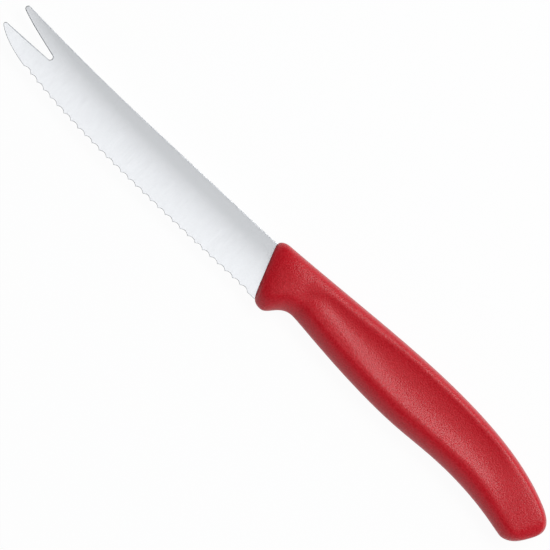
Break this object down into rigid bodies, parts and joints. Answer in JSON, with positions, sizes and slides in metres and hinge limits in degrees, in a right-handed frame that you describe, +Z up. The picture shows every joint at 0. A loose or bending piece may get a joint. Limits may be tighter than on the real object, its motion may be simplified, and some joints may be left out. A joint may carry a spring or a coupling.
{
  "type": "cheese knife",
  "caption": "Small cheese and sausage knife with a forked, wavy-edged steel blade and a moulded plastic handle with thumb scoops, for slicing and serving.",
  "frame": {"origin": "under the middle of the knife's bounding box, on the surface that it lies on", "axes": "+X along the knife from the forked tip to the butt, +Y from the cutting edge to the spine, +Z up out of the left flank"},
  "size_m": [0.2264, 0.0238, 0.012],
  "materials": {
    "steel": "satin ground",
    "plastic": "fine spark-eroded grain"
  },
  "bodies": {
    "root": {"blade": "steel", "handle": "plastic"}
  },
  "joints": []
}
